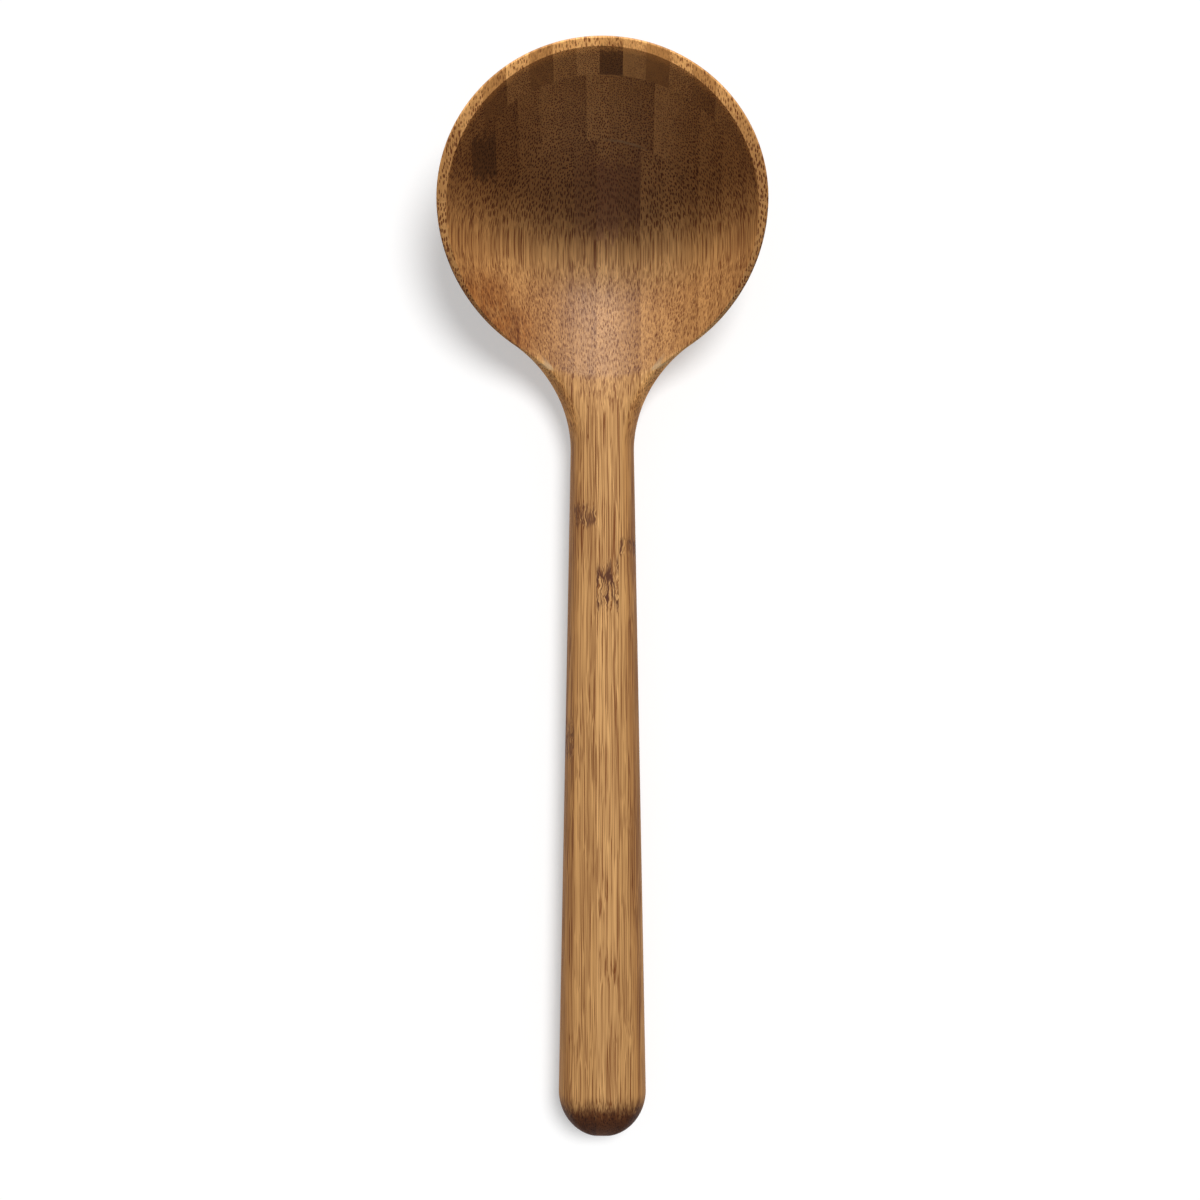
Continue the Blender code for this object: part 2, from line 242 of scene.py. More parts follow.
class FormSettings(bpy.types.PropertyGroup):
    """Sizes of the carved ladle."""
    length: FloatProperty(name="Length", description="Overall length",
                          default=CAD_BOX[1].y - CAD_BOX[0].y, unit="LENGTH", precision=4)
    rim_half_width: FloatProperty(name="Rim half width", description="Half the bowl's width at its rim",
                                  default=CAD_BOX[1].x, unit="LENGTH", precision=4)
    rim_front_depth: FloatProperty(name="Rim front depth", description="From the widest place to the front",
                                   default=0.0398, unit="LENGTH", precision=4)
    rim_rear_depth: FloatProperty(name="Rim rear depth", description="From the widest place to the neck",
                                  default=0.0428, unit="LENGTH", precision=4)
    rim_front_height: FloatProperty(name="Rim front height", description="Height of its plane at the front",
                                    default=0.0492, unit="LENGTH", precision=4)
    rim_tilt: FloatProperty(name="Rim tilt", description="Slope of the rim towards the handle",
                            default=radians(18.3), unit="ROTATION")
    lip_width: FloatProperty(name="Lip width", description="Width of the rim at the front and sides",
                             default=0.0025, unit="LENGTH", precision=4)
    lip_edge_drop: FloatProperty(name="Lip edge drop", description="Height of the lip's rounded outer edge",
                                 default=0.0005, unit="LENGTH", precision=4)
    lip_edge_width: FloatProperty(name="Lip edge width", description="Width of the lip's rounded outer edge",
                                  default=0.0006, unit="LENGTH", precision=4)
    hollow_radius: FloatProperty(name="Hollow radius", description="Egg-shaped ball that cuts the hollow",
                                 default=0.0480, unit="LENGTH", precision=4)
    hollow_upright_radius: FloatProperty(name="Hollow upright radius", description="The same ball, upright",
                                         default=0.0576, unit="LENGTH", precision=4)
    hollow_overrun: FloatProperty(name="Hollow overrun", description="How far it runs onto the handle",
                                  default=0.0052, unit="LENGTH", precision=4)
    floor_thickness: FloatProperty(name="Floor thickness", description="Wood under the deepest place",
                                   default=0.0068, unit="LENGTH", precision=4)
    foot_depth: FloatProperty(name="Foot depth", description="How much the round bottom is sanded flat",
                              default=0.0010, unit="LENGTH", precision=4)
    outer_wall_slope: FloatProperty(name="Outer wall slope", description="Its slope at the lip",
                                    default=radians(76.0), unit="ROTATION")
    shoulder_length: FloatProperty(name="Shoulder length", description="Along which the lip comes down",
                                   default=0.0260, unit="LENGTH", precision=4)
    shoulder_overrun: FloatProperty(name="Shoulder overrun", description="How far the shoulder runs on",
                                    default=0.0040, unit="LENGTH", precision=4)
    handle_top: FloatProperty(name="Handle top", description="Height of the handle's flat top",
                              default=0.0175, unit="LENGTH", precision=4)
    handle_edge_height: FloatProperty(name="Handle edge height", description="Height of its widest place",
                                      default=0.0090, unit="LENGTH", precision=4)
    handle_shoulder: FloatProperty(name="Handle shoulder", description="Width of its rounded top edges",
                                   default=0.0042, unit="LENGTH", precision=4)
    edge_climb: FloatProperty(name="Edge climb", description="Share of the neck where the outline climbs",
                              default=0.50, subtype="FACTOR")
    neck_width: FloatProperty(name="Neck width", description="Width of the handle at the bowl",
                              default=0.0173, unit="LENGTH", precision=4)
    neck_underside: FloatProperty(name="Neck underside", description="Height of the neck over the table",
                                  default=0.0030, unit="LENGTH", precision=4)
    neck_fillet: FloatProperty(name="Neck fillet", description="Radius between the handle and the rim",
                               default=0.0330, unit="LENGTH", precision=4)
    neck_softness: FloatProperty(name="Neck softness", description="Rounding where the hollow runs out",
                                 default=0.0030, unit="LENGTH", precision=4)
    end_width: FloatProperty(name="End width", description="Width of the handle near its end",
                             default=0.0238, unit="LENGTH", precision=4)
    end_rounding: FloatProperty(name="End rounding", description="Length of the handle's round end",
                                default=0.0125, unit="LENGTH", precision=4)


class FinishSettings(bpy.types.PropertyGroup):
    """Colours and finish of the oiled bamboo."""
    ground: FloatVectorProperty(name="Ground", description="Pale tissue between the fibre bundles",
                                default=(0.800, 0.440, 0.165), subtype="COLOR", min=0.0, max=1.0)
    fibre: FloatVectorProperty(name="Fibre", description="Dark fibre bundles",
                               default=(0.200, 0.057, 0.010), subtype="COLOR", min=0.0, max=1.0)
    growth_node: FloatVectorProperty(name="Growth node", description="Wood at a growth node",
                                     default=(0.120, 0.040, 0.018), subtype="COLOR", min=0.0, max=1.0)
    glue: FloatVectorProperty(name="Glue", description="Glue line between two boards",
                              default=(0.600, 0.400, 0.220), subtype="COLOR", min=0.0, max=1.0)
    end_grain: FloatVectorProperty(name="End grain", description="What is left of colour where fibres end",
                                   default=(0.60, 0.52, 0.45), subtype="COLOR", min=0.0, max=1.0)
    # Side shade: painted shade on every surface that faces sideways, such as the handle's and the bowl's
    # sides
    side_shade: FloatVectorProperty(name="Broad face", description="What is left on a stick's broad faces",
                                    default=(0.80, 0.71, 0.59), subtype="COLOR", min=0.0, max=1.0)
    # Tip: darkens the handle's rounded end, partly as end grain and partly as painted shade, for that end
    # faces away from the key lamp
    tip_grain_and_shade: FloatVectorProperty(name="Tip", description="What is left at the handle's end",
                             default=(0.22, 0.12, 0.065), subtype="COLOR", min=0.0, max=1.0)
    # Paler rim, and painted light on the neck's back-facing sides, which lie in shade under the lamps
    pale_rim_lit_neck: FloatVectorProperty(name="Rubbed", description="How much paler the rim and the neck are rubbed",
                                default=(1.72, 1.70, 1.55), subtype="COLOR", min=0.0, max=2.0)
    browned: FloatVectorProperty(name="Browned", description="What is left where oil has browned it",
                                 default=(0.76, 0.60, 0.44), subtype="COLOR", min=0.0, max=1.0)
    bundle_spacing: FloatProperty(name="Bundle spacing", description="From one fibre bundle to the next",
                                  default=0.00058, unit="LENGTH", precision=5)
    roughness: FloatProperty(name="Roughness", description="Of the oiled surface", default=0.46)
    gloss: FloatProperty(name="Gloss", description="Strength of the surface's reflections", default=0.32)


class StageSettings(bpy.types.PropertyGroup):
    """Cove, lamps and camera."""
    floor: FloatVectorProperty(name="Floor", description="Colour of the floor in the light on the ladle",
                               default=(0.60, 0.60, 0.60), subtype="COLOR", min=0.0, max=1.0)
    cove_radius: FloatProperty(name="Cove radius", description="From the middle to the backdrop",
                               default=1.40, unit="LENGTH")
    cove_height: FloatProperty(name="Cove height", description="Height of the backdrop",
                               default=0.70, unit="LENGTH")
    cove_bend: FloatProperty(name="Cove bend", description="Radius between floor and backdrop",
                             default=0.35, unit="LENGTH")
    shadow: FloatProperty(name="Shadow", description="Share of the floor's brightness that a shadow takes",
                          default=0.60, subtype="FACTOR", min=0.0, max=1.0)
    key_height: FloatProperty(name="Key height", description="Angle of the lamp over the floor",
                              default=radians(39.0), unit="ROTATION")
    key_turn: FloatProperty(name="Key turn", description="Angle of the lamp from the ladle's front",
                            default=radians(4.0), unit="ROTATION")
    key_distance: FloatProperty(name="Key distance", description="From the bowl to the lamp",
                                default=2.00, unit="LENGTH")
    key_width: FloatProperty(name="Key width", description="Long side of the lamp",
                             default=1.30, unit="LENGTH")
    key_depth: FloatProperty(name="Key depth", description="Short side of the lamp",
                             default=0.55, unit="LENGTH")
    key_level: FloatProperty(name="Key level", description="Share of white that it would give a white floor",
                             default=0.76, subtype="FACTOR", min=0.0, max=1.0)
    high_height: FloatProperty(name="High lamp height", description="Angle of this lamp over the floor",
                               default=radians(70.0), unit="ROTATION")
    high_turn: FloatProperty(name="High lamp turn", description="Angle of this lamp from the ladle's front",
                             default=radians(38.0), unit="ROTATION")
    high_softness: FloatProperty(name="High lamp softness", description="Angle that the floor's lamp fills",
                                 default=radians(22.0), unit="ROTATION")
    high_level: FloatProperty(name="High lamp level", description="Share of white that it gives the floor",
                              default=0.80, subtype="FACTOR", min=0.0, max=1.0)
    fill_level: FloatProperty(name="Fill level", description="Share of white from all round",
                              default=0.24, subtype="FACTOR", min=0.0, max=1.0)
    camera_height: FloatProperty(name="Camera height", description="Over the bowl's floor",
                                 default=0.6000, unit="LENGTH")
    view_width: FloatProperty(name="View width", description="Width of the picture at the bowl's floor",
                              default=0.3294, unit="LENGTH", precision=4)
    camera_place: FloatVectorProperty(name="Camera place", description="Point that the camera looks down on",
                                      size=2, default=(-0.00063, 0.00115), unit="LENGTH", precision=5)


def mix(start, end, share):
    """Value that lies the given share of the way from start to end."""
    return start + (end - start) * share


def ease(share):
    """Share that starts and stops gently: three times its square less twice its cube."""
    share = np.clip(share, 0.0, 1.0)
    return share * share * (3.0 - 2.0 * share)


def find_change(test, low, high):
    """Places between low, where test holds, and high, where it fails, by halving the way between."""
    for _ in range(BISECTIONS):
        middle = (low + high) / 2
        holds = test(middle)
        low = np.where(holds, middle, low)
        high = np.where(holds, high, middle)
    return (low + high) / 2


class LadleForm:
    """The carved ladle as heights and outlines over a station, along it, and a share, across it."""

    def __init__(self, sizes):
        self.sizes = sizes
        self.front_y = sizes.length / 2
        self.end_y = -sizes.length / 2
        self.cap_y = self.end_y + sizes.end_rounding
        self.rim_y = self.front_y - sizes.rim_front_depth
        self.rim_rear_y = self.rim_y - sizes.rim_rear_depth
        self.shoulder_y = self.rim_rear_y - sizes.shoulder_overrun + sizes.shoulder_length
        self.roundness = sin(sizes.outer_wall_slope)
        self.rim_slope = tan(sizes.rim_tilt)
        self.place_hollow()
        self.place_neck()

    def place_hollow(self):
        """The ball touches the floor and the lip's inner edge at the front, is stretched to the rim's
        width, and leaves along the line that touches it and ends on the handle's top. Heights under its
        middle are divided by its rise, which makes it round for these sizes."""
        sizes = self.sizes
        radius = sizes.hollow_radius
        self.ball_z = sizes.floor_thickness + sizes.hollow_upright_radius
        self.ball_rise = sizes.hollow_upright_radius / radius
        lip_inner = sizes.rim_front_height - sizes.lip_width * self.rim_slope
        lip_below = (self.ball_z - lip_inner) / self.ball_rise
        self.ball_y = self.front_y - sizes.lip_width - sqrt(radius ** 2 - lip_below ** 2)
        rim_at_ball = sizes.rim_front_height - (self.front_y - self.ball_y) * self.rim_slope
        rim_below = (self.ball_z - rim_at_ball) / self.ball_rise
        to_rim_plane = rim_below * cos(atan2(self.rim_slope, self.ball_rise))
        rim_circle = sqrt(radius ** 2 - to_rim_plane ** 2)
        self.stretch = (sizes.rim_half_width - sizes.lip_width) / rim_circle
        behind = self.ball_y - self.rim_rear_y + sizes.hollow_overrun
        below = (self.ball_z - sizes.handle_top) / self.ball_rise
        self.runout = atan2(behind, below) - acos(radius / hypot(behind, below))

    def place_neck(self):
        """The fillet touches both the rim's outline and the handle's side."""
        half_neck = self.sizes.neck_width / 2
        fillet = self.sizes.neck_fillet

        def left_of_fillet(angle):
            return self.fillet_centre(angle)[0] < half_neck + fillet

        self.neck_angle = float(find_change(left_of_fillet, -pi / 2, 0.0))
        self.fillet_x, self.fillet_y = (float(value) for value in self.fillet_centre(self.neck_angle))

    def rim_point(self, angle):
        """Two half ellipses that share the rim's width, one for its front and one for its rear."""
        depth = np.where(angle > 0.0, self.sizes.rim_front_depth, self.sizes.rim_rear_depth)
        return self.sizes.rim_half_width * np.cos(angle), self.rim_y + depth * np.sin(angle)

    def rim_normal(self, angle):
        """Outward direction of the rim's outline."""
        depth = np.where(angle > 0.0, self.sizes.rim_front_depth, self.sizes.rim_rear_depth)
        x = np.cos(angle) / self.sizes.rim_half_width
        y = np.sin(angle) / depth
        length = np.hypot(x, y)
        return x / length, y / length

    def fillet_centre(self, angle):
        """Centre of a fillet that touches the rim's outline at the given angle."""
        x, y = self.rim_point(angle)
        normal_x, normal_y = self.rim_normal(angle)
        return x + self.sizes.neck_fillet * normal_x, y + self.sizes.neck_fillet * normal_y

    def outline(self, station):
        """Right-hand edge from above: half ellipse, taper, fillet, rear of the rim, front of the rim."""
        sizes = self.sizes
        from_cap = station - END_STRETCH
        from_neck = from_cap - HANDLE_STRETCH
        from_rear = from_neck - NECK_STRETCH
        from_side = from_rear - REAR_STRETCH
        turn = np.clip(station / END_STRETCH, 0.0, 1.0) * pi / 2
        along = np.clip(from_cap / HANDLE_STRETCH, 0.0, 1.0)
        normal_x, normal_y = self.rim_normal(self.neck_angle)
        bend = mix(pi, atan2(-normal_y, -normal_x), np.clip(from_neck / NECK_STRETCH, 0.0, 1.0))
        rear = mix(self.neck_angle, 0.0, np.clip(from_rear / REAR_STRETCH, 0.0, 1.0))
        front = np.clip(from_side / FRONT_STRETCH, 0.0, 1.0) * pi / 2
        rear_x, rear_y = self.rim_point(rear)
        front_x, front_y = self.rim_point(front)
        stretch = [from_cap <= 0, from_neck <= 0, from_rear <= 0, from_side <= 0]
        x = np.select(stretch, [
            sizes.end_width / 2 * np.sin(turn),
            mix(sizes.end_width, sizes.neck_width, along) / 2,
            self.fillet_x + sizes.neck_fillet * np.cos(bend),
            rear_x,
        ], front_x)
        y = np.select(stretch, [
            self.cap_y - sizes.end_rounding * np.cos(turn),
            mix(self.cap_y, self.fillet_y, along),
            self.fillet_y + sizes.neck_fillet * np.sin(bend),
            rear_y,
        ], front_y)
        return x, y

    def neck_share(self, station):
        """0 along the handle, 1 from the bowl's widest place on, rising evenly between them."""
        start = END_STRETCH + HANDLE_STRETCH
        return np.clip((station - start) / (NECK_STRETCH + REAR_STRETCH), 0.0, 1.0)

    def end_share(self, station):
        """Share of the full thickness at the handle's rounded end."""
        return np.sin(np.minimum(station / END_STRETCH, 1.0) * pi / 2)

    def axis_y(self, station):
        """Point on the middle line from which a half section starts."""
        y = np.minimum(self.outline(station)[1], self.ball_y)
        return mix(y, self.ball_y, self.neck_share(station))

    def plan_point(self, station, share):
        """Point the given share of the way from the middle line to the outline."""
        x, y = self.outline(station)
        return x * share, mix(self.axis_y(station), y, share)

    def lip_height(self, y):
        """Side profile of the top: the rim's tilted line, then a smooth step down to the handle."""
        sizes = self.sizes
        rim = sizes.rim_front_height - (self.front_y - np.maximum(y, self.shoulder_y)) * self.rim_slope
        share = np.clip((self.shoulder_y - y) / sizes.shoulder_length, 0.0, 1.0)
        leave = share * (1.0 - share) ** 2 * self.rim_slope * sizes.shoulder_length
        return mix(rim, sizes.handle_top, ease(share)) - leave

    def hollow_height(self, x, y):
        """Underside of the ball, and of the straight round groove that it leaves towards the handle."""
        radius = np.sqrt(np.maximum(self.sizes.hollow_radius ** 2 - (x / self.stretch) ** 2, 0.0))
        behind = self.ball_y - y
        groove = radius / cos(self.runout) - behind * tan(self.runout)
        ball = np.sqrt(np.maximum(radius * radius - behind * behind, 0.0))
        below = np.where(behind > radius * sin(self.runout), groove, ball)
        return self.ball_z - below * self.ball_rise

    def edge_drop(self, station):
        """How far the top comes down from its crest to the outline."""
        drop = self.sizes.handle_top - self.sizes.handle_edge_height
        climb = ease(self.neck_share(station) / self.sizes.edge_climb)
        return mix(drop, self.sizes.lip_edge_drop, climb)

    def cap_height(self, station, share):
        """Top before the hollow is cut: the side profile, with a quarter ellipse down to the outline."""
        sizes = self.sizes
        x, y = self.outline(station)
        distance = (1.0 - share) * np.hypot(x, y - self.axis_y(station))
        width = mix(sizes.handle_shoulder, sizes.lip_edge_width, ease(self.neck_share(station)))
        width = np.maximum(width * self.end_share(station), MERGE_DISTANCE)
        inwards = np.clip(1.0 - distance / width, 0.0, 1.0)
        drop = self.edge_drop(station) * (1.0 - np.sqrt(1.0 - inwards ** 2))
        crest = self.lip_height(self.plan_point(station, share)[1])
        return mix(sizes.handle_edge_height, crest - drop, self.end_share(station))

    def under_height(self, station, share):
        """Underside: part of an ellipse from the middle line to the outline, cut off by the table."""
        sizes = self.sizes
        bowl = ease(self.neck_share(station))
        crest = self.lip_height(self.outline(station)[1])
        edge = mix(sizes.handle_edge_height, crest - self.edge_drop(station), self.end_share(station))
        roundness = mix(1.0, self.roundness, bowl)
        at_edge = np.sqrt(np.maximum(1.0 - roundness ** 2, 0.0))
        curve = np.sqrt(np.maximum(1.0 - (roundness * share) ** 2, 0.0))
        curve = (curve - at_edge) / (1.0 - at_edge)
        along = (self.axis_y(station) - self.cap_y) / (self.fillet_y - self.cap_y)
        keel = mix(ease(along) * sizes.neck_underside, -sizes.foot_depth, bowl)
        keel = mix(sizes.handle_edge_height, keel, self.end_share(station))
        return np.maximum(mix(edge, keel, curve), 0.0)

    def hollow_edge(self, station):
        """Share of the half section at which the hollow meets the lip; none along the handle."""
        def inside(share):
            return self.hollow_height(*self.plan_point(station, share)) < self.cap_height(station, share)
        starts = inside(np.zeros_like(station))
        found = find_change(inside, np.zeros_like(station), np.ones_like(station))
        return np.where(starts, found, 0.0)

    def top_height(self, station, share):
        """The lower of the hollow and the top before it was cut; where the hollow ends on the handle
        the two run into each other, lowered by up to a quarter of the neck's softness."""
        hollow = self.hollow_height(*self.plan_point(station, share))
        cap = self.cap_height(station, share)
        soft = self.sizes.neck_softness * (1.0 - ease(self.neck_share(station) / self.sizes.edge_climb))
        soft = np.maximum(soft, MERGE_DISTANCE)
        low = np.clip(0.5 + (cap - hollow) / (2.0 * soft), 0.0, 1.0)
        return mix(cap, hollow, low) - soft * low * (1.0 - low)

    def half_skin(self):
        """Grid of points over the right half, lines of stations by lines round half a section:
        hollow by even shares, lip closing on the outline by a sine, underside by a cosine."""
        stretches = (END_STRETCH, HANDLE_STRETCH, NECK_STRETCH, REAR_STRETCH, FRONT_STRETCH)
        first = np.cumsum((0,) + stretches[:-1])
        runs = [start + np.arange(length * lines) / lines
                for start, length, lines in zip(first, stretches, STATION_LINES)]
        station = np.append(np.concatenate(runs), sum(stretches))[:, None]
        edge = self.hollow_edge(station)
        hollow = edge * np.linspace(0.0, 1.0, HOLLOW_LINES + 1)
        lip = mix(edge, 1.0, np.sin(np.linspace(0.0, pi / 2, LIP_LINES + 1)[1:]))
        outer = np.cos(np.linspace(0.0, pi / 2, OUTER_LINES + 1)[1:]) * np.ones_like(station)
        share = np.hstack([hollow, lip, outer])
        x, y = self.plan_point(station, share)
        height = self.top_height(station, share)
        lines = np.arange(share.shape[1])
        height = np.where(lines > HOLLOW_LINES + LIP_LINES, self.under_height(station, share), height)
        height = np.minimum(height, CAD_BOX[1].z)
        return np.stack([x, y, height], axis=-1)


def grid_faces(rows, columns):
    """Four corners of each face of a grid of points, row by row."""
    corner = np.arange(rows * columns).reshape(rows, columns)
    faces = [corner[:-1, :-1], corner[:-1, 1:], corner[1:, 1:], corner[1:, :-1]]
    return np.stack(faces, axis=-1).reshape(-1, 4)


def ladle_skin(form):
    """The whole ladle as one closed shape: the half skin and its mirror image, joined on the middle line."""
    right = form.half_skin()
    rows, columns = right.shape[:2]
    left = right * (-1.0, 1.0, 1.0)
    points = np.concatenate([right.reshape(-1, 3), left.reshape(-1, 3)])
    faces = grid_faces(rows, columns)
    faces = np.concatenate([faces, faces[:, ::-1] + rows * columns])
    mesh = bpy.data.meshes.new("ladle_skin")
    mesh.from_pydata(points, (), faces)
    shape = bmesh.new()
    shape.from_mesh(mesh)
    bpy.data.meshes.remove(mesh)
    bmesh.ops.remove_doubles(shape, verts=shape.verts, dist=MERGE_DISTANCE)
    bmesh.ops.dissolve_degenerate(shape, dist=MERGE_DISTANCE, edges=shape.edges)
    bmesh.ops.recalc_face_normals(shape, faces=shape.faces)
    shape.faces.layers.int.new("sawn")
    return shape


def saw(shape, place, outward):
    """Cuts off what lies on the outward side of a plane, and closes the cut."""
    cut = bmesh.ops.bisect_plane(
        shape, geom=shape.verts[:] + shape.edges[:] + shape.faces[:], dist=MERGE_DISTANCE,
        plane_co=place, plane_no=outward, clear_outer=True,
    )
    border = [item for item in cut["geom_cut"] if isinstance(item, bmesh.types.BMEdge)]
    if not border:
        return
    filled = bmesh.ops.triangle_fill(shape, use_beauty=True, use_dissolve=False, edges=border)
    sawn = shape.faces.layers.int["sawn"]
    for face in filled["geom"]:
        if isinstance(face, bmesh.types.BMFace):
            face[sawn] = 1


class Stick:
    """One stick of a board: its name, sides and frame nodes, and what tells its wood from the others'."""

    def __init__(self, blank, board, place):
        level = BOARDS.index(board)
        side = f"{board}_stick_right" if place >= 0 else f"{board}_stick_left"
        count = place + 1 if place >= 0 else -place
        usual_tone = 1.0 + TONE_SWING * sin(STICK_TURN * place + BOARD_TURN * level)
        self.name = f"{side}_{count}"
        self.thickness = blank.stick_thickness
        self.left = blank.joints[level] + place * blank.stick_thickness
        self.right = self.left + blank.stick_thickness
        self.tone = STICK_TONES.get(side, {}).get(count, usual_tone)
        self.bundles = STICK_BUNDLES.get(side, {}).get(count, 1.0)
        self.seed = place + level * SEED_STEP
        self.nodes = self.frame_nodes()

    def frame_nodes(self):
        """Frame nodes made from this stick, from the bowl's front backwards."""
        names = [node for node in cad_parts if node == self.name or node.startswith(self.name + "_")]
        return sorted(names, key=lambda node: -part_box(node)[1].y)


def board_sticks(blank, board):
    """A board's sticks from left to right, as the frame's nodes have them."""
    sticks = [Stick(blank, board, place) for place in range(-MOST_STICKS, MOST_STICKS)]
    return [stick for stick in sticks if stick.nodes]


def mark_sawn_edges(mesh):
    """Edges between the carved surface and a sawn face stay sharp, as do the carved creases."""
    mesh.shade_smooth()
    mesh.set_sharp_from_angle(angle=CREASE_ANGLE)
    sharp = np.zeros(len(mesh.edges), bool)
    marks = mesh.attributes.get("sharp_edge") or mesh.attributes.new("sharp_edge", "BOOLEAN", "EDGE")
    marks.data.foreach_get("value", sharp)
    sawn = np.zeros(len(mesh.polygons), np.int32)
    mesh.attributes["sawn"].data.foreach_get("value", sawn)
    corners = np.zeros(len(mesh.polygons), np.int32)
    mesh.polygons.foreach_get("loop_total", corners)
    edges = np.zeros(len(mesh.loops), np.int32)
    mesh.loops.foreach_get("edge_index", edges)
    sawn_sides = np.bincount(edges, weights=np.repeat(sawn, corners), minlength=len(mesh.edges))
    marks.data.foreach_set("value", sharp | (sawn_sides == 1))
    mesh.attributes.remove(mesh.attributes["sawn"])


def add_vectors(mesh, name, vectors):
    """Point attribute of three numbers."""
    marks = mesh.attributes.new(name, "FLOAT_VECTOR", "POINT")
    marks.data.foreach_set("vector", np.asarray(vectors, np.float32).ravel())


def rim_wear(form, points):
    """1 on the front of the rim, which is made paler, less at its sides, 0 a little under it and at
    the neck."""
    y, z = points[1::3], points[2::3]
    under = form.lip_height(y) - z
    rear = ease((y - form.rim_rear_y) / form.sizes.rim_rear_depth)
    front = ease((y - form.rim_y) / form.sizes.rim_front_depth)
    return ease(1.0 - under / RIM_PALE_DEPTH) * rear * mix(RIM_SIDE_PALENESS, 1.0, front)


def add_stick_marks(mesh, node, stick, form):
    """Point attributes for the finish: place across the stick, tone and seed, bundles and the rim's
    paleness, and the node's marks."""
    count = len(mesh.vertices)
    points = np.zeros(count * 3, np.float32)
    mesh.vertices.foreach_get("co", points)
    across = (points[0::3] - stick.left) / stick.thickness
    tone, seed, bundles = (np.full(count, value) for value in (stick.tone, stick.seed, stick.bundles))
    stain = STAINS.get(node, (*NO_MARK, SAP))
    add_vectors(mesh, "stick", np.stack([across, tone, seed], axis=-1))
    add_vectors(mesh, "bundles", np.stack([bundles, rim_wear(form, points), np.zeros(count)], axis=-1))
    add_vectors(mesh, "growth_node", np.tile(GROWTH_NODES.get(node, NO_MARK), (count, 1)))
    add_vectors(mesh, "stain", np.tile(stain[:3], (count, 1)))
    add_vectors(mesh, "stain_colour", np.tile(stain[3], (count, 1)))


def group(name):
    """Collection of the ladle's pieces or of the stage's surfaces, which one lamp lights."""
    collection = bpy.data.collections.get(name)
    if not collection:
        collection = bpy.data.collections.new(name)
        bpy.context.scene.collection.children.link(collection)
    return collection


def add_piece(shape, node, stick, form, material):
    """One fine piece, which stands for one node of the frame."""
    bmesh.ops.recalc_face_normals(shape, faces=shape.faces)
    mesh = bpy.data.meshes.new("fine_" + node)
    shape.to_mesh(mesh)
    shape.free()
    if not mesh.polygons:
        raise RuntimeError(f"nothing is left of {node}")
    mark_sawn_edges(mesh)
    add_stick_marks(mesh, node, stick, form)
    mesh.materials.append(material)
    piece = bpy.data.objects.new("fine_" + node, mesh)
    group("ladle").objects.link(piece)
    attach(piece, BODY)
    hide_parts(node)


def board_shape(form, blank, level):
    """The part of the ladle's skin between the joints under and over one board."""
    shape = ladle_skin(form)
    if level > 0:
        saw(shape, (0.0, 0.0, level * blank.board_thickness), (0.0, 0.0, -1.0))
    if level < len(BOARDS) - 1:
        saw(shape, (0.0, 0.0, (level + 1) * blank.board_thickness), (0.0, 0.0, 1.0))
    return shape


def add_stick(shape, stick, form, material):
    """Parts a stick that the hollow cuts in two, and adds a piece for each of its nodes."""
    for front, rear in zip(stick.nodes, stick.nodes[1:]):
        parting = (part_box(front)[0].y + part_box(rear)[1].y) / 2
        piece = shape.copy()
        saw(piece, (0.0, parting, 0.0), (0.0, -1.0, 0.0))
        add_piece(piece, front, stick, form, material)
        saw(shape, (0.0, parting, 0.0), (0.0, 1.0, 0.0))
    add_piece(shape, stick.nodes[-1], stick, form, material)


def add_board(context, board):
    """Saws one board out of the ladle's skin and then its sticks, from left to right."""
    scene = context.scene
    blank = scene.ladle_blank
    material = bamboo(scene.ladle_finish, blank)
    form = LadleForm(scene.ladle_form)
    rest = board_shape(form, blank, BOARDS.index(board))
    sticks = board_sticks(blank, board)
    for stick in sticks[:-1]:
        shape = rest.copy()
        saw(shape, (stick.right, 0.0, 0.0), (1.0, 0.0, 0.0))
        saw(rest, (stick.right, 0.0, 0.0), (-1.0, 0.0, 0.0))
        add_stick(shape, stick, form, material)
    add_stick(rest, sticks[-1], form, material)


